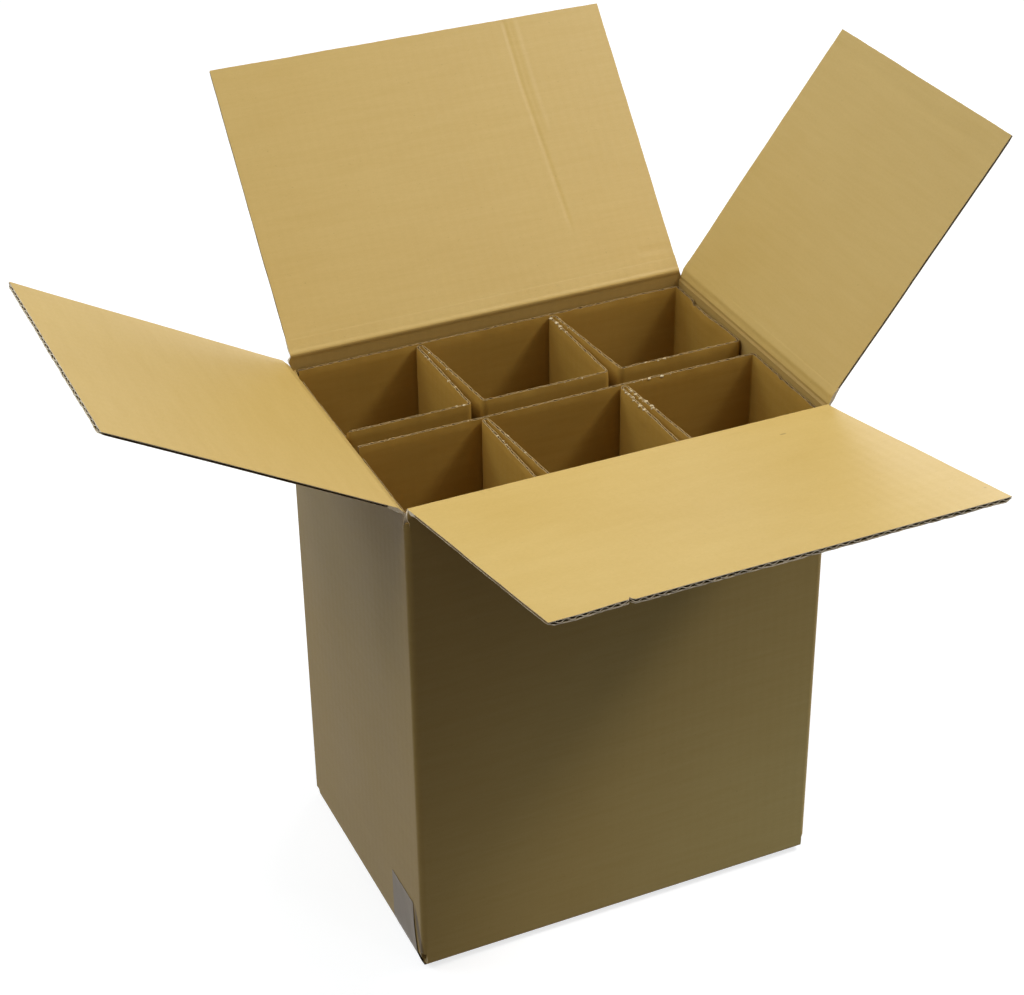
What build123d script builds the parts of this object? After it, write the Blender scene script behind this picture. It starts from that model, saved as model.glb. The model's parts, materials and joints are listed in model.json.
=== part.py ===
from build123d import *
import os
from math import radians, tan

# Six-bottle shipping carton of single-wall corrugated board, standing open.
# X runs along the long walls, Y from the front wall to the back wall, Z up.
# The origin is at the middle of the underside.

# Carton
inside_length = 306.0
inside_width = 215.0
board = 3.5
corner_radius = 4.5
layer_gap = 0.25
flap_end_gap = 0.45

# Corrugated section
liner = 0.35
medium = 0.35
flute_pitch = 8.0
flute_crown = 0.8
flute_crown_rise = 0.2
flute_foot_gap = 0.2
flute_edge_wall = 0.5

# Creases between walls and flaps. A fold depth is measured outwards from the wall's inner face.
fold_depth_share = {"left": 1.0, "right": 0.7, "front": -0.07, "back": 0.0}
rest_angle = {"left": 60.8, "right": 36.9, "front": 77.9, "back": 41.2}
stack_order = ("left", "right", "front", "back")
fold_out_limit = 135.0
crease_gap = 0.15
crush_length = 2.0

# Corner slots
slot_depth = 2.0
bottom_slot_height = 3.0
long_flap_overhang = 0.6
short_flap_side_gap = 0.4

# Glued lap inside the back left corner
lap_width = 32.0
lap_thickness = 2.4
lap_taper = 12.0
lap_end_gap = 1.0

# Inserts, two folded strips of thinner board
insert_board = 3.0
insert_height = 366.5
insert_row_gap = 18.0
insert_wall_gap = 0.5
insert_side_gap = 0.6
insert_seat_gap = 0.05
cell_front_gap = 7.4
last_cell_narrowing = 5.5
cell_skew = 4.5
insert_fold_radius = 0.3
insert_fold_gap = 0.1
cells = 3

# Packing tape
tape_width = 50.0
tape_thickness = 0.2
tape_recess = 0.25
tape_front_offset = 5.5
tape_turn_up = 52.0
tape_top_narrowing = 7.0

half_length = inside_length / 2
half_width = inside_width / 2
outer_half_length = half_length + board
outer_half_width = half_width + board
fold_depth = {side: share * board for side, share in fold_depth_share.items()}
layer_step = board + layer_gap
flute_foot = flute_pitch / 2 - flute_crown - flute_foot_gap

# The four bottom flaps lie in layers: back flap outermost, then front, then right, then left
back_floor = 0.0
front_floor = layer_step
side_floor = 2 * layer_step
top_floor = 3 * layer_step + board
insert_bottom = top_floor + insert_seat_gap
insert_top = insert_bottom + insert_height
insert_depth = (inside_width - insert_row_gap) / 2 - insert_wall_gap
insert_right = half_length - insert_side_gap
insert_left = -half_length + lap_thickness + 2 * insert_side_gap
cell_front = (insert_right - insert_left + last_cell_narrowing - (cells - 1) * cell_front_gap) / cells

# Closed top flaps lie above the inserts in stack order
closed_level = {side: insert_top + layer_gap + place * layer_step for place, side in enumerate(stack_order)}
fold_height = {side: closed_level[side] + fold_depth[side] for side in stack_order}
slot_floor = insert_top - slot_depth
slot_ceiling = side_floor + board + bottom_slot_height
flap_length = inside_width + fold_depth["front"] - flap_end_gap
long_half_span = half_length + long_flap_overhang
short_half_span = half_width - short_flap_side_gap
outward_share = tan(radians(fold_out_limit / 2))

is_long = {"front": True, "back": True, "left": False, "right": False}
turn = {"front": 0.0, "right": 90.0, "back": 180.0, "left": 270.0}


def wall_half_span(side):
    return long_half_span if is_long[side] else short_half_span


def wall_distance(side):
    return half_width if is_long[side] else half_length


def place_on_wall(shape, side):
    """Moves a shape from the wall's own frame, where Y points inwards, to its place on the carton."""
    return Rot(0, 0, turn[side]) * Pos(0, -wall_distance(side), 0) * shape


def across_wall(outline, side):
    """Extrudes an outline of (outward depth, height) points along the whole wall."""
    face = make_face(Polyline([(-depth, height) for depth, height in outline], close=True))
    span = wall_half_span(side)
    return Pos(-span, 0, 0) * extrude(Plane.YZ * face, amount=2 * span)


def crease_edge(side):
    """Bevelled edge of crushed board beside a crease, as (outward depth, distance from the crease)."""
    depth = fold_depth[side]
    if depth <= 0:
        return [(0, crease_gap - depth * outward_share), (board, crease_gap + (board - depth) * outward_share)]
    if depth >= board:
        return [(0, crease_gap + depth), (board, crease_gap + depth - board)]
    outer = crease_gap + (board - depth) * outward_share
    return [(0, crease_gap + depth), (depth, crease_gap), (board, outer)]


def wall_top(side):
    foot = slot_floor - corner_radius
    edge = [(depth, fold_height[side] - drop) for depth, drop in crease_edge(side)]
    return place_on_wall(across_wall([(0, foot)] + edge + [(board, foot)], side), side)


def bottom_flap_outline(side, level):
    """Wall foot, rounded fold and flat bottom flap in one section."""
    reach = flap_length - board
    top = slot_ceiling + corner_radius
    if side != "left":
        return [(0, top), (board, top), (board, level), (-reach, level), (-reach, level + board), (0, level + board)]
    lap_start = -(2 * half_length - flap_length)
    ramp = 2.5 * board
    raised = level + layer_step
    return [
        (0, top),
        (board, top),
        (board, level),
        (lap_start + ramp, level),
        (lap_start + board, raised),
        (-reach, raised),
        (-reach, raised + board),
        (lap_start + board, raised + board),
        (lap_start + ramp, level + board),
        (0, level + board),
    ]


def bottom_flap(side, level):
    solid = across_wall(bottom_flap_outline(side, level), side)
    span = wall_half_span(side)
    folds = solid.edges().filter_by(Axis.X).filter_by_position(Axis.Z, level - 0.01, level + 0.01)
    solid = fillet(folds.sort_by(Axis.Y)[0], board - 0.2)
    corner = solid.edges().filter_by(Axis.X).filter_by_position(Axis.Z, level + board - 0.01, level + board + 0.01)
    solid = fillet(corner.sort_by(Axis.Y)[0], 0.4)
    return place_on_wall(solid, side)


def wall_ring():
    outer = RectangleRounded(2 * outer_half_length, 2 * outer_half_width, corner_radius)
    inner = RectangleRounded(2 * half_length, 2 * half_width, corner_radius - board)
    return Pos(0, 0, slot_ceiling) * extrude(outer - inner, amount=slot_floor - slot_ceiling)


def glued_lap():
    """Lap of the same sheet, folded from the back wall and glued inside the left wall."""
    low = insert_bottom + lap_end_gap
    high = closed_level["left"] - lap_end_gap
    outline = Polyline(
        [
            (half_width, low),
            (half_width - lap_width, low + lap_taper),
            (half_width - lap_width, high - lap_taper),
            (half_width, high),
        ],
        close=True,
    )
    return Pos(-half_length, 0, 0) * extrude(Plane.YZ * make_face(outline), amount=lap_thickness)


def tape_outline(thickness):
    """Section of the tape along X: up one side wall, under the bottom and up the other side wall."""
    side = outer_half_length
    outer = side + tape_thickness
    low = tape_recess - tape_thickness
    return [
        (-outer, low),
        (outer, low),
        (outer, tape_turn_up),
        (outer - thickness, tape_turn_up),
        (outer - thickness, low + thickness),
        (-outer + thickness, low + thickness),
        (-outer + thickness, tape_turn_up),
        (-outer, tape_turn_up),
    ]


def tape_front():
    return -outer_half_width + tape_front_offset


def bottom_tape():
    """One strip, whose turned-up ends lean back a little at the front edge."""
    section = make_face(Polyline(tape_outline(tape_thickness), close=True))
    strip = extrude(Plane.XZ * section, amount=-tape_width)
    strip = Pos(0, tape_front(), 0) * strip
    trim = Polyline(
        [
            (tape_front() - 1, board),
            (tape_front(), board),
            (tape_front() + tape_top_narrowing, tape_turn_up),
            (tape_front() + tape_top_narrowing, tape_turn_up + 1),
            (tape_front() - 1, tape_turn_up + 1),
        ],
        close=True,
    )
    waste = extrude(Plane.YZ * make_face(trim), amount=2 * outer_half_length, both=True)
    return strip - waste


def carton():
    sheet = wall_ring()
    floor_level = {"back": back_floor, "front": front_floor, "right": side_floor, "left": side_floor}
    for side, level in floor_level.items():
        sheet += wall_top(side)
        sheet += bottom_flap(side, level)
    sheet += glued_lap()
    groove = Box(3 * outer_half_length, tape_width + 0.5, 2 * tape_recess)
    return sheet - Pos(0, tape_front() + tape_width / 2, 0) * groove


def flute_positions(half_span, phase):
    """Middles of the flute channels that are whole, or are cut open by a side edge of the board."""
    count = int(half_span / flute_pitch) + 1
    for place in range(-count, count + 1):
        middle = (place + phase) * flute_pitch
        whole = abs(middle) + flute_foot < half_span - flute_edge_wall
        cut_open = abs(abs(middle) - half_span) < flute_foot - flute_edge_wall
        if whole or cut_open:
            yield middle


def flute_channel(on_inner_liner):
    """Section of one air channel between the wavy medium and a liner, with its foot on the liner."""
    foot = liner
    crown = board - liner - medium
    shoulder = crown - flute_crown_rise
    outline = [
        Line((-flute_foot, foot), (flute_foot, foot)),
        Line((flute_foot, foot), (flute_crown, shoulder)),
        ThreePointArc((flute_crown, shoulder), (0, crown), (-flute_crown, shoulder)),
        Line((-flute_crown, shoulder), (-flute_foot, foot)),
    ]
    channel = make_face(outline)
    if on_inner_liner:
        return mirror(channel, Plane.XZ)
    return Pos(0, -board) * channel


def fluted_flap(side):
    """Top flap with its corrugated section, crushed solid beside the crease."""
    span = wall_half_span(side)
    edge = crease_edge(side)
    plate = across_wall(edge + [(board, flap_length), (0, flap_length)], side)
    start = max(distance for depth, distance in edge) + crush_length
    inner_phase = 0.0 if is_long[side] else 0.5
    inner = flute_channel(True)
    outer = flute_channel(False)
    section = [Pos(middle, 0) * inner for middle in flute_positions(span, inner_phase)]
    section += [Pos(middle, 0) * outer for middle in flute_positions(span, inner_phase + 0.5)]
    channels = [Pos(0, 0, start) * extrude(face, amount=flap_length) for face in section]
    return plate - channels


def top_flap(side):
    """Flap swung outwards about its crease to the angle where it stands open."""
    pivot = -fold_depth[side]
    upright = Pos(0, -pivot, 0) * fluted_flap(side)
    swung = Pos(0, pivot, fold_height[side]) * Rot(rest_angle[side], 0, 0) * upright
    return place_on_wall(swung, side)


def insert_route():
    """Middle line of the folded strip, seen from above, from the back panel's left end to its free end."""
    half = insert_board / 2
    radius = insert_fold_radius + half
    back = -half
    front = -insert_depth + half
    fold_back = -insert_board - insert_fold_gap - half
    points = [(insert_left, back), (insert_right - half, back), (insert_right - half, front)]
    cell_right = insert_right
    for cell in range(cells - 1):
        cell_left = cell_right - cell_front
        next_right = cell_left - cell_front_gap
        fold_middle = (cell_left + next_right) / 2 - cell_skew
        points += [
            (cell_left + half, front),
            (fold_middle + radius + insert_fold_gap, fold_back),
            (fold_middle - radius - insert_fold_gap, fold_back),
            (next_right - half, front),
        ]
        cell_right = next_right
    points += [(insert_left + half, front), (insert_left + half, -insert_board - 4 * insert_fold_gap)]
    return points


def insert_row():
    """Strip of board folded into three open cells in front of one back panel."""
    route = insert_route()
    radius = insert_fold_radius + insert_board / 2
    path = FilletPolyline(*route, radius=radius)
    section = trace(path, line_width=insert_board)
    return extrude(section, amount=insert_height)


def make_parts():
    row = insert_row()
    parts = {
        "carton": carton(),
        "bottom_tape": bottom_tape(),
        "insert_back_row": Pos(0, half_width - insert_wall_gap, insert_bottom) * row,
        "insert_front_row": Pos(0, insert_depth - half_width + insert_wall_gap, insert_bottom) * row,
    }
    for side in stack_order:
        parts["flap_" + side] = top_flap(side)
    return parts


os.makedirs("parts", exist_ok=True)
for name, shape in make_parts().items():
    export_step(shape, f"parts/{name}.step")
for side in stack_order:
    print(side, "fold depth", fold_depth[side], "height", fold_height[side], "closed level", closed_level[side])
print("flap length", flap_length, "insert top", insert_top, "slot floor", slot_floor, "cell front", cell_front)
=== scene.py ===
import json
import math
import random

import bmesh
import bpy
from mathutils import Matrix, Vector, noise


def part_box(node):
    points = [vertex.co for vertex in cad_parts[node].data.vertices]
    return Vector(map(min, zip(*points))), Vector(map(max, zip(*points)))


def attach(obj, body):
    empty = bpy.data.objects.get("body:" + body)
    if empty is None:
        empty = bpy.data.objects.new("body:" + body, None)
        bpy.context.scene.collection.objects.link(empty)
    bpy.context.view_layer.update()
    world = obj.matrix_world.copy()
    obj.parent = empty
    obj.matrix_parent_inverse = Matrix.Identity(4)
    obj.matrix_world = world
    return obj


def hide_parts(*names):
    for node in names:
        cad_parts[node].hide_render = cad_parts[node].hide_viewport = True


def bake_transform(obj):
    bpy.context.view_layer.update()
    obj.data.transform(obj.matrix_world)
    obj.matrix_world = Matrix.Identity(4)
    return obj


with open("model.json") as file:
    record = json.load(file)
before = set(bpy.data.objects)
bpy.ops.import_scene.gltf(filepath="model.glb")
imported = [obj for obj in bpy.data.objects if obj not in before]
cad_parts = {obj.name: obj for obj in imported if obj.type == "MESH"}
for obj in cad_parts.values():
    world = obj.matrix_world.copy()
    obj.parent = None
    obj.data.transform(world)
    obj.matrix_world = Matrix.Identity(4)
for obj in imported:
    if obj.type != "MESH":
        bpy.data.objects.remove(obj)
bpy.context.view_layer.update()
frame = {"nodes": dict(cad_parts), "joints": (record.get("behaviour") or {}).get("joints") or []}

# Sizes that the frame doesn't state, in metres
INSIDE_LENGTH = 0.306
INSIDE_WIDTH = 0.215
BOARD = 0.0035
FLAP_LENGTH = 0.214305
LINER = 0.00035
MEDIUM = 0.0003
FLUTE_PITCH = 0.008

# Top flaps: rows and columns of their layers, then how far wear reaches in from the cut edges,
# how much the edges lose, and how the layers spread apart at the free edge
LONG_FLAP_COLUMNS = 320
SHORT_FLAP_COLUMNS = 230
INNER_LINER_ROWS = 56
OUTER_LINER_ROWS = 30
MEDIUM_ROWS = 10
COLUMNS_PER_FLUTE = 10
WORN_SIDE = 0.004
WORN_END = 0.006
TRIM = 0.0003
TRIM_WAVE = 0.0003
FINE_TRIM_WAVE = 0.00015
SIDE_CRUSH = 0.5
SIDE_CRUSH_WAVE = 0.12
SIDE_CRUSH_REACH = 0.005
END_CRUSH = 0.12
END_SPREAD_REACH = 0.003
INNER_SPREAD = 0.5
OUTER_SPREAD = 1.7
MEDIUM_SPREAD = 1.4
MEDIUM_SQUEEZE = 0.32
MEDIUM_RISE = 0.0002
INNER_RAGGED = 0.00015
OUTER_RAGGED = 0.0006
MEDIUM_RAGGED = 0.0004
OUTER_FRAY = 0.0003
WARP = 0.0004
WARP_SIZE = 0.13
WARP_RUN = 0.05

# Crease strips between walls and flaps, and where the flap's layers start beyond them
CREASE_REACH = 0.0125
CREASE_PINCH = 0.0065
CREASE_TURN = 0.0035
CREASE_THICKNESS = 0.0014
CREASE_SPREAD = 0.0014
STRIP_PROUD = 0.00006
STRIP_TUCK = 0.00012
STRIP_TUCK_START = 0.82
STRIP_TUCK_RUN = 0.18
STRIP_WOBBLE = 0.00012
STRIP_COLUMNS = 120
STRIP_ROWS = 48
SPREAD_REACH = 0.005
FLAP_START = 0.0065
BEVEL_START = 0.25
BEVEL_RUN = 0.004

# Inserts: their fold line, then the rows and columns of their layers and the wear of their tops
INSERT_BOARD = 0.003
INSERT_DEPTH = 0.098
INSERT_WALL_GAP = 0.0005
INSERT_SIDE_GAP = 0.0006
LAP_THICKNESS = 0.0024
CELL_FRONT = 0.0975
CELL_FRONT_GAP = 0.0074
CELL_SKEW = 0.0045
INSERT_FOLD_RADIUS = 0.0003
INSERT_FOLD_GAP = 0.0001
CELLS = 3
INSERT_PITCH = 0.0075
INSERT_COLUMN = 0.0016
INSERT_LINER_ROWS = 14
INSERT_MEDIUM_ROWS = 12
INSERT_COLUMNS_PER_FLUTE = 8
WORN_TOP = 0.0035
INSERT_LINER_RAGGED = 0.0006
INSERT_MEDIUM_RAGGED = 0.0003
TOP_LEAN = 0.0004
TOP_CRUSH = 0.42
TOP_CRUSH_WAVE = 0.15
END_WALL_DROP = 0.0085
END_WALL_RUN = 0.006
RIGHT_WALL_START = INSIDE_LENGTH / 2 - 0.006
BOW_START = 0.26
BOW_RUN = 0.12
BURR_STRAY = 0.0007
BURR_DEPTHS = (0.0006, 0.0010)
BURR_STRETCH = (1.25, 0.85, 0.75)
BURR_ROUGHNESS = 0.75

# Packing tape along the bottom, turned up at both ends
TAPE_WIDTH = 0.05
TAPE_THICKNESS = 0.0002
TAPE_RECESS = 0.00025
TAPE_FRONT = 0.0055 - INSIDE_WIDTH / 2 - BOARD
TAPE_TURN_UP = 0.052
TAPE_NARROWING = 0.0115
TAPE_NARROWING_RUN = 0.022
TAPE_LOW_TURN = 0.0095
TAPE_HALF_SPAN = 0.15385
TAPE_FOLD_RADIUS = 0.0006
TAPE_TURN_REACH = 0.004
TAPE_FRONT_LIFT = 0.0005
TAPE_FRONT_REACH = 0.011
TAPE_FRONT_RUN = 0.018
TAPE_END_LIFT = 0.0003
TAPE_END_REACH = 0.006
TAPE_BUBBLES = 0.00012
TAPE_JAG = 0.0008
TAPE_COLUMNS = 260
TAPE_ROWS = 26

# How far past the inner faces the walls' inside colour, with its painted shade, reaches
INNER_MARGIN = 0.0003

# Colours, as linear light
LINER_COLOUR = (0.585, 0.405, 0.125)
LINER_PALE = (0.63, 0.45, 0.16)
LINER_DARK = (0.54, 0.36, 0.10)
OUTER_COLOUR = (0.42, 0.275, 0.085)
OUTER_PALE = (0.45, 0.305, 0.105)
OUTER_DARK = (0.385, 0.245, 0.070)
# Inside faces of the walls: the inner liner painted darker than on the flaps, as painted shade
WALL_INSIDE_SHADE_COLOUR = (0.45, 0.30, 0.095)
INSERT_COLOUR = (0.41, 0.237, 0.043)
INSERT_PALE = (0.47, 0.290, 0.066)
INSERT_DARK = (0.35, 0.195, 0.031)
EDGE_COLOUR = (0.92, 0.81, 0.63)
EDGE_DARK = (0.72, 0.58, 0.38)
INSERT_EDGE_COLOUR = (0.50, 0.35, 0.15)
INSERT_EDGE_DARK = (0.34, 0.215, 0.075)
# Flute medium: its own brown, darkened as painted shade in the flute hollows
FLUTE_SHADED_COLOUR = (0.26, 0.165, 0.07)
FLUTE_SHADED_DARK = (0.16, 0.10, 0.04)
BURR_COLOUR = (0.80, 0.70, 0.47)
TAPE_COLOUR = (0.175, 0.125, 0.075)
# Colour of the dirt marks on the front flap and of the painted shade beside the tape's front edge
GRIME_AND_SHADE_COLOUR = (0.11, 0.065, 0.018)
FLOOR_SEEN = (0.46, 0.46, 0.46)
FLOOR_GLOW = (0.74, 0.74, 0.74)
FLOOR_THROW = (0.105, 0.10, 0.095)
WORLD_THROW = 0.05

SIDES = ("front", "back", "left", "right")
LONG_SIDES = ("front", "back")
UP = Vector((0, 0, 1))


class Signal:
    """A value on its way through a material. Arithmetic on it adds Math nodes."""

    def __init__(self, finish, socket):
        self.finish = finish
        self.socket = socket

    def _maths(self, operation, first, second):
        return self.finish.node("ShaderNodeMath", {"operation": operation}, {0: first, 1: second})

    def __add__(self, other):
        return self._maths("ADD", self, other)

    def __radd__(self, other):
        return self._maths("ADD", other, self)

    def __sub__(self, other):
        return self._maths("SUBTRACT", self, other)

    def __rsub__(self, other):
        return self._maths("SUBTRACT", other, self)

    def __mul__(self, other):
        return self._maths("MULTIPLY", self, other)

    def __rmul__(self, other):
        return self._maths("MULTIPLY", other, self)

    def above(self, limit):
        return self._maths("GREATER_THAN", self, limit)


class Finish:
    """A material or the world, built node by node."""

    def __init__(self, owner):
        owner.use_nodes = True
        self.owner = owner
        self.nodes = owner.node_tree.nodes
        self.links = owner.node_tree.links
        self.nodes.clear()
        self.place = self.node("ShaderNodeTexCoord", output="Object")

    def node(self, kind, settings=None, inputs=None, output=0):
        made = self.nodes.new(kind)
        for key, value in (settings or {}).items():
            if key == "stops":
                elements = made.color_ramp.elements
                while len(elements) < len(value):
                    elements.new(0.5)
                for element, (position, colour) in zip(elements, value):
                    element.position = position
                    element.color = (*colour, 1)
            else:
                setattr(made, key, value)
        for key, value in (inputs or {}).items():
            if isinstance(value, Signal):
                self.links.new(value.socket, made.inputs[key])
            else:
                made.inputs[key].default_value = value
        return Signal(self, made.outputs[output]) if made.outputs else None

    def stretched(self, scale, rotation=(0, 0, 0)):
        """Object coordinates with each axis scaled, for patterns that run one way."""
        inputs = {"Vector": self.place, "Scale": scale, "Rotation": rotation}
        return self.node("ShaderNodeMapping", {}, inputs)

    def noise(self, scale, detail=2.0, roughness=0.5, vector=None):
        inputs = {"Vector": vector or self.place, "Scale": scale}
        inputs |= {"Detail": detail, "Roughness": roughness}
        return self.node("ShaderNodeTexNoise", {}, inputs, "Fac")

    def fade(self, value, low, high, start=0.0, end=1.0):
        inputs = {"Value": value, "From Min": low, "From Max": high, "To Min": start, "To Max": end}
        return self.node("ShaderNodeMapRange", {"clamp": True}, inputs)

    def mix(self, factor, first, second, blend="MIX"):
        settings = {"data_type": "RGBA", "blend_type": blend}
        return self.node("ShaderNodeMix", settings, {0: factor, 6: first, 7: second}, 2)

    def axis(self, axis):
        """One coordinate of the place on the piece."""
        return self.node("ShaderNodeSeparateXYZ", {}, {0: self.place}, axis)

    def sine(self, value):
        return self.node("ShaderNodeMath", {"operation": "SINE"}, {0: value})

    def absolute(self, value):
        return self.node("ShaderNodeMath", {"operation": "ABSOLUTE"}, {0: value})

    def bump(self, height, distance, strength=1.0):
        inputs = {"Height": height, "Distance": distance, "Strength": strength}
        return self.node("ShaderNodeBump", {}, inputs)

    def seen(self):
        """1 where the camera sees this itself or in a reflection, and 0 where it only throws light."""
        path = self.node("ShaderNodeLightPath", output="Is Camera Ray")
        outputs = path.socket.node.outputs
        glossy = Signal(self, outputs["Is Glossy Ray"])
        return path + glossy + Signal(self, outputs["Is Transmission Ray"])

    def surface(self, inputs):
        shader = self.node("ShaderNodeBsdfPrincipled", {}, inputs)
        self.node("ShaderNodeOutputMaterial", {}, {"Surface": shader})
        return self.owner


def new_finish(name):
    return Finish(bpy.data.materials.new(name))


def rgba(colour):
    return (*colour, 1.0)


def board_finish(
    name,
    colour,
    pale,
    dark,
    along,
    streak=(1.0, 1.0, 14.0),
    dirt_and_shade_marks=(),
    inner=None,
    gloss=0.28,
):
    """Paper liner: brown with faint streaks, fine fibres, flecks and the flutes showing through."""
    f = new_finish(name)
    cloud = f.noise(9.0, 3.0, 0.55)
    streaks = f.noise(22.0, 3.0, 0.6, f.stretched(streak))
    fibre = f.noise(1300.0, 3.0, 0.65, f.stretched((0.3, 0.3, 1.0)))
    cross_fibre = f.noise(1100.0, 2.0, 0.6, f.stretched((1.0, 1.0, 0.3)))
    shade = f.fade(cloud * 0.55 + streaks * 0.45, 0.36, 0.64)
    tone = f.mix(shade, rgba(dark), rgba(pale))
    tone = f.mix(0.62, tone, rgba(colour))
    # Inside the walls the paper takes the darker inside colour: painted shade
    if inner:
        past_ends = f.absolute(f.axis(0)).above(INSIDE_LENGTH / 2 + INNER_MARGIN)
        past_sides = f.absolute(f.axis(1)).above(INSIDE_WIDTH / 2 + INNER_MARGIN)
        tone = f.mix((1 - past_ends) * (1 - past_sides), tone, rgba(inner))
    grain = f.fade(fibre * 0.55 + cross_fibre * 0.45, 0.32, 0.70)
    tone = f.mix(grain * 0.10, tone, rgba(tuple(c * 0.55 for c in dark)))
    flecks = f.noise(520.0, 1.0, 0.5).above(0.765)
    tone = f.mix(flecks * 0.16, tone, rgba(tuple(c * 0.35 for c in dark)))
    # Each mark darkens the paper: dirt on the front flap, and painted shadow beside the tape's front
    # edge on the left wall
    for centre, size, tilt, strength in dirt_and_shade_marks:
        offset = f.node("ShaderNodeVectorMath", {"operation": "SUBTRACT"}, {0: f.place, 1: centre})
        inputs = {0: offset, "Angle": tilt}
        turned = f.node("ShaderNodeVectorRotate", {"rotation_type": "X_AXIS"}, inputs)
        scaled = f.node("ShaderNodeVectorMath", {"operation": "DIVIDE"}, {0: turned, 1: size})
        distance = f.node("ShaderNodeVectorMath", {"operation": "LENGTH"}, {0: scaled}, "Value")
        tone = f.mix(f.fade(distance, 0.6, 1.0, strength, 0.0), tone, rgba(GRIME_AND_SHADE_COLOUR))
    waves = [f.sine(f.axis(axis) * (2 * math.pi / FLUTE_PITCH)) for axis in along]
    flutes = sum(waves[1:], waves[0])
    height = flutes * 0.45 + grain * 0.40 + streaks * 0.30
    normal = f.bump(height, 0.00007, 0.5)
    rough = f.fade(cloud * 0.5 + fibre * 0.5, 0.3, 0.7, 0.42, 0.54)
    inputs = {"Base Color": tone, "Roughness": rough, "Normal": normal, "Specular IOR Level": gloss}
    return f.surface(inputs)


def edge_finish(name, colour, dark):
    """Cut edge of paper: fuzzy, paler on the fibres."""
    f = new_finish(name)
    fuzz = f.noise(1500.0, 3.0, 0.7)
    patch = f.noise(160.0, 2.0, 0.5)
    tone = f.mix(f.fade(fuzz, 0.35, 0.65), rgba(dark), rgba(colour))
    tone = f.mix(f.fade(patch, 0.4, 0.6) * 0.4, tone, rgba(tuple(c * 0.75 for c in colour)))
    return f.surface({"Base Color": tone, "Roughness": 0.85, "Normal": f.bump(fuzz, 0.0002, 0.8)})


def tape_finish():
    """Thin packing tape over brown board: greyish, smoother than the board."""
    f = new_finish("packing_tape")
    wrinkles = f.noise(60.0, 2.0, 0.5, f.stretched((1.0, 1.0, 0.3)))
    pale = rgba(tuple(c * 1.15 for c in TAPE_COLOUR))
    tone = f.mix(f.fade(wrinkles, 0.35, 0.7), rgba(TAPE_COLOUR), pale)
    normal = f.bump(wrinkles, 0.00015, 0.5)
    inputs = {"Base Color": tone, "Roughness": 0.42, "Normal": normal, "Specular IOR Level": 0.25}
    return f.surface(inputs)


def floor_finish():
    """White in the picture and in reflections, grey for the light that it throws back up."""
    f = new_finish("pale_floor")
    seen = f.seen()
    inputs = {
        "Base Color": f.mix(seen, rgba(FLOOR_THROW), rgba(FLOOR_SEEN)),
        "Emission Color": f.mix(seen, (0, 0, 0, 1), rgba(FLOOR_GLOW)),
        "Emission Strength": 1.0,
        "Roughness": 0.9,
        "Specular IOR Level": 0.1,
    }
    return f.surface(inputs)


def slab(width, depth, height, across, up, through=1):
    """A closed board, centred in X and Y and standing on Z 0. Its cut edges get material 1."""
    bm = bmesh.new()
    bmesh.ops.create_cube(bm, size=1.0)
    bmesh.ops.scale(bm, verts=bm.verts, vec=(width, depth, height))
    bmesh.ops.translate(bm, verts=bm.verts, vec=(0, 0, height / 2))
    for axis, cuts in ((0, across), (2, up), (1, through)):
        if cuts > 1:
            runs = [(e, (e.verts[0].co - e.verts[1].co).normalized()) for e in bm.edges]
            edges = [e for e, run in runs if abs(run[axis]) > 0.99]
            bmesh.ops.subdivide_edges(bm, edges=edges, cuts=cuts - 1, use_grid_fill=True)
    bm.normal_update()
    for face in bm.faces:
        on_edge = abs(face.normal.y) < 0.5
        face.material_index = 1 if on_edge else 0
        face.smooth = not on_edge
    for edge in bm.edges:
        edge.smooth = len({face.material_index for face in edge.link_faces}) < 2
    return bm


def dense_end(share):
    """Rows that crowd together towards the top."""
    return 1 - (1 - share) ** 2.6


def dense_ends(share):
    """Rows that crowd together towards both ends."""
    return 0.5 - 0.5 * math.cos(math.pi * share)


def respaced(bm, height, spacing):
    """Moves the rows of an even board up or down."""
    for vertex in bm.verts:
        vertex.co.z = height * spacing(vertex.co.z / height)
    return bm


def reshape(bm, place):
    """Moves each point to where place puts it."""
    for vertex in bm.verts:
        vertex.co = place(vertex.co)
    return bm


def joined(*parts):
    """One bmesh that holds several."""
    whole = bmesh.new()
    for part in parts:
        mesh = bpy.data.meshes.new("part")
        part.to_mesh(mesh)
        part.free()
        whole.from_mesh(mesh)
        bpy.data.meshes.remove(mesh)
    return whole


def piece(name, bm, materials):
    """A mesh object at the origin, with its place in its mesh."""
    mesh = bpy.data.meshes.new(name)
    bm.to_mesh(mesh)
    bm.free()
    for material in materials:
        mesh.materials.append(material)
    made = bpy.data.objects.new(name, mesh)
    bpy.context.scene.collection.objects.link(made)
    return made


def ripple(place, size, seed=0.0):
    """Smooth random value between about -1 and 1 that changes over a length of size."""
    return noise.noise(Vector(place) / size + Vector((seed, 2.3 * seed, 5.1 * seed)))


def smooth(value):
    """0 below 0, 1 above 1 and an S curve between."""
    value = min(max(value, 0.0), 1.0)
    return value * value * (3 - 2 * value)


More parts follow.
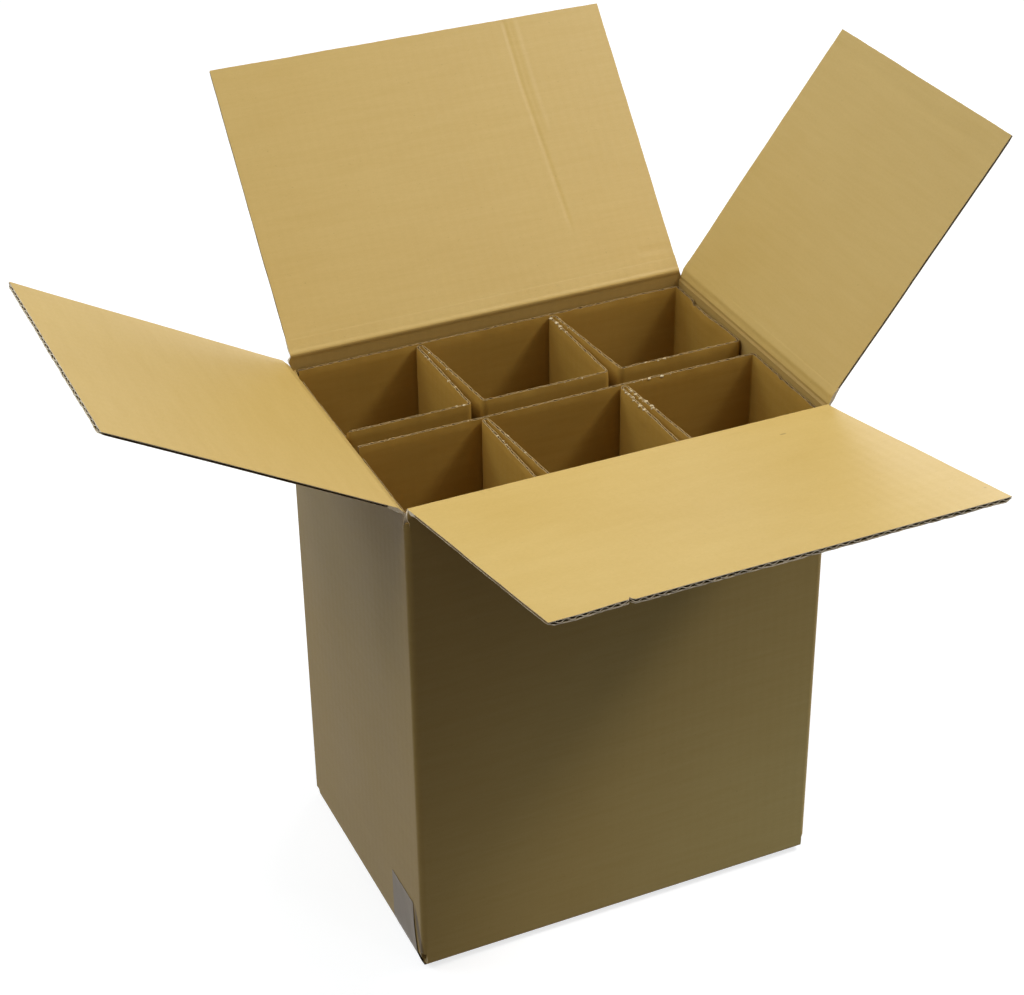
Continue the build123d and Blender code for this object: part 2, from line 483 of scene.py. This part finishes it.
class Crease:
    """The fold between a wall and its flap. Its frame has X along the fold, Y inwards and Z up."""

    def __init__(self, joint):
        self.side = joint["name"].split("_")[1]
        self.flap = joint["child"]
        axis = Vector(joint["axis"])
        point = Vector(joint["pos_m"])
        self.rest = math.radians(-joint["range_deg"][0] - 90)
        self.is_long = self.side in LONG_SIDES
        wall = (INSIDE_WIDTH if self.is_long else INSIDE_LENGTH) / 2
        self.depth = (abs(point.y) if self.is_long else abs(point.x)) - wall
        low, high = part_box(self.flap)
        self.half_span = (high.x - low.x if self.is_long else high.y - low.y) / 2
        frame_axes = Matrix((axis, UP.cross(axis), UP)).transposed().to_4x4()
        self.wall_frame = Matrix.Translation(point) @ frame_axes
        self.flap_frame = self.wall_frame @ Matrix.Rotation(self.rest, 4, "X")

    def on_flap(self, along, out):
        """A place on the flap's inner face, by its distances along and away from the fold."""
        return self.flap_frame @ Vector((along, self.depth, out))

    def bent(self, co, share):
        """Turns a point of the upright frame about the fold by a share of the flap's rest angle."""
        return self.wall_frame @ (Matrix.Rotation(self.rest * share, 4, "X") @ co)


CREASES = {crease.side: crease for crease in map(Crease, frame["joints"])}


def as_flutes(bm):
    """Gives the wavy sheet its own material, apart from its cut edges: the medium's brown, darkened as
    painted shade in the flute hollows.
    """
    for face in bm.faces:
        face.material_index = face.material_index or 2
    return bm


def crush(crease, along, amount):
    """Share of its thickness that the board keeps near its side edges, crushed by the slotting."""
    from_edge = crease.half_span - abs(along)
    ragged = SIDE_CRUSH + SIDE_CRUSH_WAVE * ripple((along, crease.half_span, 0), 0.02, 3.0)
    return 1 - amount * ragged * smooth(1 - from_edge / SIDE_CRUSH_REACH)


def corrugated_flap(crease, wear):
    """Inner liner, wavy medium and outer liner of a flap, from its crease to its free edge."""
    width = 2 * crease.half_span
    length = FLAP_LENGTH - FLAP_START
    seed = 1.0 + SIDES.index(crease.side)

    def placed(co, layer_seed, ragged, fray=0.0):
        x, y, z = co
        out = z + FLAP_START
        side_share = smooth(1 - (crease.half_span - abs(x)) / WORN_SIDE)
        end_share = smooth(1 - (FLAP_LENGTH - out) / WORN_END)
        side_wave = TRIM_WAVE * ripple((z, seed, 0), 0.025, seed)
        side_wave += FINE_TRIM_WAVE * ripple((z, 0, 0), 0.004, layer_seed)
        x += math.copysign(side_share, x) * (side_wave - TRIM)
        y *= crush(crease, x, 1.0) - END_CRUSH * end_share
        y *= min(1.0, BEVEL_START + z / BEVEL_RUN)
        end_wave = TRIM_WAVE * ripple((x, seed, 1), 0.04, seed) - TRIM
        end_wave += ragged * (ripple((x, 0, seed), 0.005, layer_seed) - 0.6)
        end_wave += 0.3 * ragged * ripple((x, 1, seed), 0.0015, layer_seed)
        z += end_share * (end_wave - wear.set_back(x))
        y += wear.height(x, out) + end_share * fray * ripple((x, 2, 0), 0.007, layer_seed)
        return crease.flap_frame @ Vector((x, y + crease.depth, z + FLAP_START))

    columns = LONG_FLAP_COLUMNS if crease.is_long else SHORT_FLAP_COLUMNS
    inner = respaced(slab(width, LINER, length, columns, INNER_LINER_ROWS), length, dense_ends)
    outer = respaced(slab(width, LINER, length, columns, OUTER_LINER_ROWS), length, dense_ends)

    def at_end(co):
        return smooth(1 - (length - co.z) / END_SPREAD_REACH)

    def inner_placed(co):
        depth = (LINER / 2 - co.y) * (1 + INNER_SPREAD * at_end(co))
        return placed(Vector((co.x, -depth, co.z)), 3.1, INNER_RAGGED)

    def outer_placed(co):
        rise = (LINER / 2 + co.y) * (1 + OUTER_SPREAD * at_end(co))
        return placed(Vector((co.x, rise - BOARD, co.z)), 7.7, OUTER_RAGGED, OUTER_FRAY)

    for face in outer.faces:
        face.material_index = face.material_index or 3
    reshape(inner, inner_placed)
    reshape(outer, outer_placed)
    flutes = round(width / FLUTE_PITCH)
    swing = (BOARD - 2 * LINER - MEDIUM) / 2

    def waved(co):
        squeezed = at_end(co)
        wave = math.sin(2 * math.pi * co.x / FLUTE_PITCH)
        lift = swing * (1 - MEDIUM_SQUEEZE * squeezed) * wave
        y = co.y * (1 + MEDIUM_SPREAD * squeezed) - BOARD / 2 + lift + MEDIUM_RISE * squeezed
        z = BEVEL_RUN + co.z * (1 - BEVEL_RUN / length)
        return placed(Vector((co.x, y, z)), 5.3, MEDIUM_RAGGED)

    medium = slab(width, MEDIUM, length, flutes * COLUMNS_PER_FLUTE, MEDIUM_ROWS)
    reshape(respaced(medium, length, dense_end), waved)
    return joined(inner, outer, as_flutes(medium))


def crease_strip(crease):
    """Crushed board across the fold: full thickness at both ends and pinched at the axis."""
    reach = CREASE_REACH
    half = CREASE_THICKNESS / 2
    centre = min(max(crease.depth, half), BOARD - half)
    pinch_in = centre - half
    pinch_out = BOARD - (centre + half)
    seed = 11.0 + SIDES.index(crease.side)

    def placed(co):
        x, y, z = co
        z -= reach
        share = smooth(1 - abs(z) / CREASE_PINCH)
        near_end = smooth((abs(z) / reach - STRIP_TUCK_START) / STRIP_TUCK_RUN)
        proud = STRIP_PROUD - (STRIP_PROUD + STRIP_TUCK) * near_end
        wobble = STRIP_WOBBLE * share * ripple((x, 0, z), 0.006, seed)
        if y > 0:
            y = crease.depth - pinch_in * share + proud + wobble
        else:
            y = crease.depth - BOARD + pinch_out * share - proud + wobble
        y = crease.depth + (y - crease.depth) * crush(crease, x, smooth(z / reach))
        near_side = smooth(1 - (crease.half_span - abs(x)) / WORN_SIDE)
        below_fold = smooth(1 - abs(z + SPREAD_REACH) / SPREAD_REACH)
        x += math.copysign(CREASE_SPREAD * near_side * below_fold, x)
        return crease.bent(Vector((x, y, z)), smooth((z / CREASE_TURN + 1) / 2))

    bm = slab(2 * crease.half_span, BOARD, 2 * reach, STRIP_COLUMNS, STRIP_ROWS)
    # The wall half of the strip and its outer face take the carton's paper, whose inside colour
    # carries painted shade
    for face in bm.faces:
        on_wall = face.normal.y < 0 or face.calc_center_median().z < reach
        if face.material_index == 0 and on_wall:
            face.material_index = 2
    return reshape(bm, placed)


def insert_route():
    """Middle line of the folded insert strip from above, as corner points from its back left end."""
    half = INSERT_BOARD / 2
    radius = INSERT_FOLD_RADIUS + half
    right = INSIDE_LENGTH / 2 - INSERT_SIDE_GAP
    left = -INSIDE_LENGTH / 2 + LAP_THICKNESS + 2 * INSERT_SIDE_GAP
    back = -half
    front = -INSERT_DEPTH + half
    fold_back = -INSERT_BOARD - INSERT_FOLD_GAP - half
    points = [(left, back), (right - half, back), (right - half, front)]
    cell_right = right
    for _ in range(CELLS - 1):
        cell_left = cell_right - CELL_FRONT
        next_right = cell_left - CELL_FRONT_GAP
        fold_middle = (cell_left + next_right) / 2 - CELL_SKEW
        points += [
            (cell_left + half, front),
            (fold_middle + radius + INSERT_FOLD_GAP, fold_back),
            (fold_middle - radius - INSERT_FOLD_GAP, fold_back),
            (next_right - half, front),
        ]
        cell_right = next_right
    points += [(left + half, front), (left + half, -INSERT_BOARD - 4 * INSERT_FOLD_GAP)]
    return [Vector((x, y, 0)) for x, y in points]


class Route:
    """A line of straight runs joined by arcs, read by the distance along it."""

    def __init__(self, points, radius):
        self.pieces = []
        start = points[0]
        for before, corner, after in zip(points, points[1:], points[2:]):
            into = (corner - before).normalized()
            out = (after - corner).normalized()
            turn = into.angle(out)
            cut = radius * math.tan(turn / 2)
            entry = corner - into * cut
            side = math.copysign(1.0, into.cross(out).z)
            self.pieces.append(("run", start, into, (entry - start).length, 0.0))
            self.pieces.append(("arc", entry, into, radius * turn, side * radius))
            start = corner + out * cut
        into = (points[-1] - start).normalized()
        self.pieces.append(("run", start, into, (points[-1] - start).length, 0.0))
        self.length = sum(entry[3] for entry in self.pieces)
        self.known = {}

    def at(self, distance):
        """Point and direction to the left of travel."""
        if distance not in self.known:
            self.known[distance] = self.found(distance)
        return self.known[distance]

    def found(self, distance):
        """The same, worked out. Past the end of the line it goes on straight."""
        for kind, start, into, length, radius in self.pieces:
            if distance <= length:
                break
            distance -= length
        else:
            distance += length
        left = UP.cross(into)
        if kind == "run":
            return start + into * distance, left
        turned = Matrix.Rotation(distance / radius, 3, "Z")
        centre = start + left * radius
        return centre + turned @ (start - centre), turned @ left


def insert_row(name, node, back, wear, burr_lines):
    """Corrugated strip folded into cells: two liners, the wavy medium and torn specks on top."""
    low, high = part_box(node)
    height = high.z - low.z
    corners = insert_route()
    route = Route(corners, INSERT_FOLD_RADIUS + INSERT_BOARD / 2)
    swing = (INSERT_BOARD - 2 * LINER - MEDIUM) / 2
    liner_offset = (INSERT_BOARD - LINER) / 2
    end_wall = route.length - (corners[-1] - corners[-2]).length
    seed = 21.0 if back > 0 else 27.0

    def placed(co, offset, ragged, layer_seed):
        distance = co.x + route.length / 2
        point, left = route.at(round(distance, 6))
        top = smooth(1 - (height - co.z) / WORN_TOP)
        rough = 0.5 + 0.5 * ripple((distance, 0, 0), 0.006, layer_seed)
        rough += 0.5 * ripple((distance, 5, 0), 0.0018, layer_seed)
        lean = TOP_LEAN * ripple((distance, 1, 0), 0.009, seed)
        crushed = 1 - top * (TOP_CRUSH + TOP_CRUSH_WAVE * ripple((distance, 3, 0), 0.012, seed))
        place = point + left * (co.y + offset * crushed + top * lean)
        sunk = top * (ragged * max(rough, 0.0) + wear.chip(place))
        sunk += co.z / height * END_WALL_DROP * smooth((distance - end_wall) / END_WALL_RUN)
        place = place + wear.bow(place, low.z + co.z)
        return Vector((place.x, place.y + back, low.z + co.z - sunk))

    def liner(offset, layer_seed):
        columns = round(route.length / INSERT_COLUMN)
        bm = slab(route.length, LINER, height, columns, INSERT_LINER_ROWS)
        respaced(bm, height, dense_end)
        return reshape(bm, lambda co: placed(co, offset, INSERT_LINER_RAGGED, layer_seed))

    def waved(co):
        wave = swing * math.sin(2 * math.pi * (co.x + route.length / 2) / INSERT_PITCH)
        return placed(co, wave, INSERT_MEDIUM_RAGGED, seed + 6)

    columns = round(route.length / INSERT_PITCH * INSERT_COLUMNS_PER_FLUTE)
    medium = slab(route.length, MEDIUM, height, columns, INSERT_MEDIUM_ROWS)
    reshape(respaced(medium, height, dense_end), waved)
    parts = [liner(liner_offset, seed), liner(-liner_offset, seed + 3), as_flutes(medium)]
    draw = random.Random(round(seed))
    for wall, first, last, count, size in burr_lines:
        for step in range(count):
            share = first + (last - first) * (step + draw.uniform(0.2, 0.8)) / count
            spot = corners[wall].lerp(corners[wall + 1], share)
            centre = (
                spot.x + draw.uniform(-BURR_STRAY, BURR_STRAY),
                spot.y + back + draw.uniform(-BURR_STRAY, BURR_STRAY),
                high.z - draw.uniform(*BURR_DEPTHS),
            )
            parts.append(burr(centre, size * draw.uniform(0.6, 1.25), draw.uniform(0, 100)))
    return piece(name, joined(*parts), [INSERT_PAPER, INSERT_EDGE, FLUTE_SHADED_PAPER, BURR_PAPER])


def burr(centre, size, seed):
    """Small torn flake of paper."""
    bm = bmesh.new()
    bmesh.ops.create_icosphere(bm, subdivisions=2, radius=size)
    bmesh.ops.scale(bm, verts=bm.verts, vec=BURR_STRETCH)
    for vertex in bm.verts:
        vertex.co *= 1 + BURR_ROUGHNESS * ripple(vertex.co, size, seed)
    bmesh.ops.translate(bm, verts=bm.verts, vec=centre)
    for face in bm.faces:
        face.material_index = 3
        face.smooth = True
    return bm


class InsertWear:
    """Chips in the top edge and bows of the right wall, by distances from the back of the row."""

    def __init__(self, chips=(), bows=()):
        self.chips = chips
        self.bows = bows

    def chip(self, place):
        """How far the top edge sinks."""
        total = 0.0
        if place.x > RIGHT_WALL_START:
            for middle, reach, depth in self.chips:
                total += depth * smooth(1 - abs(place.y - middle) / reach)
        return total

    def bow(self, place, height):
        """How the wall leans in, from a height above the ground upwards."""
        total = 0.0
        if place.x > RIGHT_WALL_START:
            rise = smooth((height - BOW_START) / BOW_RUN)
            for middle, reach, depth in self.bows:
                total += depth * smooth(1 - abs(place.y - middle) / reach) * rise
        return Vector((-total, 0, 0))


def tape_strip():
    """Packing tape: one thin strip up a side wall, under the bottom and up the other side wall."""
    outer = INSIDE_LENGTH / 2 + BOARD + TAPE_THICKNESS / 2
    under = TAPE_RECESS - TAPE_THICKNESS / 2
    half = [(TAPE_HALF_SPAN, under), (outer, TAPE_LOW_TURN), (outer, TAPE_TURN_UP)]
    corners = [(-x, z) for x, z in reversed(half)] + half
    route = Route([Vector((x, z, 0)) for x, z in corners], TAPE_FOLD_RADIUS)

    def placed(co):
        distance = co.x + route.length / 2
        point, left = route.at(round(distance, 6))
        from_end = min(distance, route.length - distance)
        turned_up = smooth((TAPE_TURN_UP - from_end) / TAPE_TURN_REACH)
        narrowing = 1 - math.exp(-max(0.0, TAPE_TURN_UP - from_end) / TAPE_NARROWING_RUN)
        narrow = TAPE_NARROWING * narrowing
        across = co.z * (1 - narrow / TAPE_WIDTH)
        near_front = smooth((co.z - TAPE_WIDTH + TAPE_FRONT_REACH) / TAPE_FRONT_REACH)
        near_end = smooth(1 - from_end / TAPE_END_REACH)
        lift = TAPE_FRONT_LIFT * near_front * smooth(from_end / TAPE_FRONT_RUN) * turned_up
        lift += TAPE_END_LIFT * near_end * (0.5 + ripple((co.z, 0, 0), 0.012, 41.0))
        lift += TAPE_BUBBLES * turned_up * max(0.0, ripple((distance, co.z, 0), 0.011, 43.0))
        jag = TAPE_JAG * near_end * ripple((co.z, 1, 0), 0.0016, 47.0)
        place = point + left * (co.y - lift)
        return Vector((place.x, TAPE_FRONT + TAPE_WIDTH - across, place.y - jag * turned_up))

    bm = slab(route.length, TAPE_THICKNESS, TAPE_WIDTH, TAPE_COLUMNS, TAPE_ROWS)
    return reshape(bm, placed)


class Wear:
    """Dents, ridges and torn places of one flap, by their distances along and away from its fold."""

    def __init__(self, seed, ridges=(), nick=None):
        self.seed = seed
        self.ridges = ridges
        self.nick = nick

    def height(self, along, out):
        """How far the board stands out of its plane, towards the inside of the carton."""
        total = smooth(out / WARP_RUN) * WARP * ripple((along, out, 0), WARP_SIZE, self.seed)
        for line, width, rise in self.ridges:
            total += rise * line_nearness(line, along, out, width)
        return total

    def set_back(self, along):
        """How much the free edge is cut back."""
        if self.nick is None:
            return 0.0
        middle, half_width, depth, step, run = self.nick
        cut = depth * max(0.0, 1 - abs(along - middle) / half_width)
        beside = middle - along
        shorter = step * smooth(1 - beside / run) if beside > 0 else 0.0
        return max(cut, shorter)


def line_nearness(line, along, out, width):
    """1 on a line of points and falling smoothly to 0 at a distance of width from it."""
    place = Vector((along, out))
    nearest = math.inf
    for start, end in zip(line, line[1:]):
        start, end = Vector(start), Vector(end)
        run = end - start
        share = min(max((place - start).dot(run) / run.length_squared, 0.0), 1.0)
        nearest = min(nearest, (place - start - run * share).length)
    return smooth(1 - nearest / width)


def placed_light(data, place, target):
    """A lamp at a place, pointing at a target."""
    lamp = bpy.data.objects.new(data.name, data)
    bpy.context.scene.collection.objects.link(lamp)
    lamp.location = place
    lamp.rotation_euler = (Vector(target) - Vector(place)).to_track_quat("-Z", "Y").to_euler()
    return lamp


def area_light(name, place, target, size, watts, colour):
    data = bpy.data.lights.new(name, "AREA")
    data.shape = "RECTANGLE"
    data.size, data.size_y = size
    data.energy = watts
    data.color = colour
    return placed_light(data, place, target)


def spot_light(name, place, target, angle, watts, colour):
    data = bpy.data.lights.new(name, "SPOT")
    data.spot_size = math.radians(angle)
    data.spot_blend = 1.0
    data.shadow_soft_size = 0.2
    data.energy = watts
    data.color = colour
    return placed_light(data, place, target)


# Finishes. Marks of dirt, and of painted shade beside the tape's front edge: centre, half sizes, tilt
# and strength
FRONT_MARKS = (
    (CREASES["front"].on_flap(0.1008, 0.0315), (0.0028, 0.0012, 0.002), 0.0, 0.45),
    (CREASES["front"].on_flap(0.1490, 0.1920), (0.0012, 0.0010, 0.002), 0.0, 0.30),
)
# Dark wedge on the left wall between the tape's front edge and the corner: painted shadow of the
# lifted tape edge
CARTON_PAINTED_SHADE_MARKS = (((-INSIDE_LENGTH / 2 - BOARD, -0.1032, 0.0290), (0.004, 0.0042, 0.0260), 0.26, 0.95),)
CARTON_PAPER = board_finish(
    "carton_liner",
    OUTER_COLOUR,
    OUTER_PALE,
    OUTER_DARK,
    (0, 1),
    dirt_and_shade_marks=CARTON_PAINTED_SHADE_MARKS,
    inner=WALL_INSIDE_SHADE_COLOUR,
    gloss=0.12,
)
LINER_COLOURS = (LINER_COLOUR, LINER_PALE, LINER_DARK)
INSERT_COLOURS = (INSERT_COLOUR, INSERT_PALE, INSERT_DARK)
FRONT_PAPER = board_finish("front_flap_liner", *LINER_COLOURS, (0,), dirt_and_shade_marks=FRONT_MARKS)
LONG_FLAP_PAPER = board_finish("long_flap_liner", *LINER_COLOURS, (0,))
SHORT_FLAP_PAPER = board_finish("short_flap_liner", *LINER_COLOURS, (1,))
INSERT_PAPER = board_finish("insert_liner", *INSERT_COLOURS, (0, 1), (1.0, 1.0, 9.0))
CARTON_EDGE = edge_finish("carton_cut_edge", EDGE_COLOUR, EDGE_DARK)
INSERT_EDGE = edge_finish("insert_cut_edge", INSERT_EDGE_COLOUR, INSERT_EDGE_DARK)
FLUTE_SHADED_PAPER = edge_finish("flute_medium_shaded", FLUTE_SHADED_COLOUR, FLUTE_SHADED_DARK)
BURR_PAPER = edge_finish("torn_paper", BURR_COLOUR, INSERT_EDGE_COLOUR)
TAPE = tape_finish()

# Top flaps and the creases that carry them. Ridges: points of the line, width and rise.
# Nick in the free edge: middle, half width, depth, and the step beside it with its run
WEAR = {
    "front": Wear(31.0, nick=(-0.1010, 0.0016, 0.0050, 0.0016, 0.035)),
    "back": Wear(
        32.0,
        ridges=(
            (
                ((-0.0750, 0.2110), (-0.0747, 0.1610), (-0.0765, 0.1250), (-0.0798, 0.0520)),
                0.0030,
                -0.00035,
            ),
            (((-0.0830, 0.2110), (-0.0827, 0.1610), (-0.0845, 0.1250)), 0.0040, 0.0002),
            (((-0.1272, 0.0200), (-0.1535, 0.0184)), 0.0025, -0.0003),
        ),
    ),
    "left": Wear(33.0),
    "right": Wear(34.0, ridges=((((0.1071, 0.2030), (-0.1071, 0.1965)), 0.0035, -0.00022),)),
}
PAPERS = {
    "front": FRONT_PAPER,
    "back": LONG_FLAP_PAPER,
    "left": SHORT_FLAP_PAPER,
    "right": SHORT_FLAP_PAPER,
}
for side, crease in CREASES.items():
    paper = PAPERS[side]
    papers = [paper, CARTON_EDGE, FLUTE_SHADED_PAPER, CARTON_PAPER]
    board = piece(f"{side}_flap_board", corrugated_flap(crease, WEAR[side]), papers)
    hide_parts(crease.flap)
    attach(board, crease.flap)
    strip = piece(f"{side}_flap_crease", crease_strip(crease), [paper, CARTON_EDGE, CARTON_PAPER])
    middle = crease.wall_frame @ Vector((0, crease.depth - BOARD / 2, 0))
    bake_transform(strip)

# Inserts. Torn specks: wall number from the back left end, first and last share along it, count, size
BACK_BURRS = (
    (3, 0.62, 0.98, 6, 0.0009),
    (5, 0.02, 0.30, 6, 0.0010),
    (7, 0.45, 0.90, 5, 0.0008),
    (9, 0.10, 0.75, 6, 0.0008),
    (2, 0.59, 0.82, 3, 0.0010),
    (6, 0.18, 0.42, 3, 0.0009),
    (10, 0.02, 0.20, 3, 0.0009),
    (0, 0.25, 0.28, 1, 0.0008),
)
FRONT_BURRS = (
    (3, 0.55, 0.97, 9, 0.0010),
    (5, 0.03, 0.42, 10, 0.0010),
    (7, 0.40, 0.85, 7, 0.0007),
    (9, 0.15, 0.50, 5, 0.0007),
    (0, 0.66, 0.80, 5, 0.0010),
    (0, 0.25, 0.31, 2, 0.0008),
)
BACK_WEAR = InsertWear(chips=((-0.0315, 0.0050, 0.0022),), bows=((-0.0480, 0.0300, 0.0024),))
FRONT_WEAR = InsertWear(chips=((-0.0410, 0.0030, 0.0012),))
BACK_PLACE = INSIDE_WIDTH / 2 - INSERT_WALL_GAP
FRONT_PLACE = INSERT_DEPTH - INSIDE_WIDTH / 2 + INSERT_WALL_GAP
INSERTS = (
    ("back_insert_strip", "insert_back_row", BACK_PLACE, BACK_WEAR, BACK_BURRS),
    ("front_insert_strip", "insert_front_row", FRONT_PLACE, FRONT_WEAR, FRONT_BURRS),
)
for name, node, back, wear, burr_lines in INSERTS:
    strip = insert_row(name, node, back, wear, burr_lines)
    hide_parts(node)
    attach(strip, "carton")

# Tape
tape = piece("packing_tape_strip", tape_strip(), [TAPE, TAPE])
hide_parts("bottom_tape")
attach(tape, "carton")

# Carton walls keep their shape
carton = frame["nodes"]["carton"]
carton.data.materials.clear()
carton.data.materials.append(CARTON_PAPER)

# Floor
floor_mesh = bmesh.new()
bmesh.ops.create_grid(floor_mesh, x_segments=1, y_segments=1, size=15.0)
floor = piece("floor", floor_mesh, [floor_finish()])

# Light
AIM = (0, 0, 0.35)
WHITE = (1.0, 1.0, 1.0)
COOL = (0.76, 0.90, 1.0)
COLD = (0.35, 0.62, 1.0)
area_light("right_light", (1.35, -0.5, 2.1), AIM, (0.45, 0.45), 25.0, WHITE)
area_light("left_light", (-1.3, 0, 2.6), AIM, (1.2, 1.2), 28.0, WHITE)
area_light("left_back_light", (-1.845, 1.065, 1.84), AIM, (0.9, 0.9), 16.0, COOL)
area_light("front_light", (1.0, -0.95, 2.55), AIM, (1.4, 1.4), 11.0, WHITE)
area_light("back_light", (-0.73, 2.0, 1.84), AIM, (0.9, 0.9), 7.0, WHITE)
area_light("low_back_light", (1.75, 1.85, 0.9), AIM, (0.9, 0.9), 12.0, WHITE)
spot_light("low_front_light", (1.1, -2.4, 0.4), (-0.03, -0.111, -0.05), 17.0, 37.0, WHITE)
spot_light("low_right_light", (1.3, -2.3, 0.4), (0.19, -0.111, 0.03), 13.0, 90.0, COLD)
bpy.context.scene.world = bpy.data.worlds.new("studio")
sky = Finish(bpy.context.scene.world)
strength = sky.fade(sky.seen(), 0.0, 1.0, WORLD_THROW, 1.0)
background = sky.node("ShaderNodeBackground", {}, {"Color": (1, 1, 1, 1), "Strength": strength})
sky.node("ShaderNodeOutputWorld", {}, {"Surface": background})

# Camera
camera_data = bpy.data.cameras.new("camera")
camera_data.sensor_width = 36.0
camera_data.lens = 83.68
camera = bpy.data.objects.new("camera", camera_data)
bpy.context.scene.collection.objects.link(camera)
camera.location = (-0.6097, -1.2955, 1.1904)
camera.rotation_euler = [math.radians(a) for a in (57.99, 0.67, -24.41)]
bpy.context.scene.camera = camera
bpy.context.scene.view_settings.view_transform = "Standard"
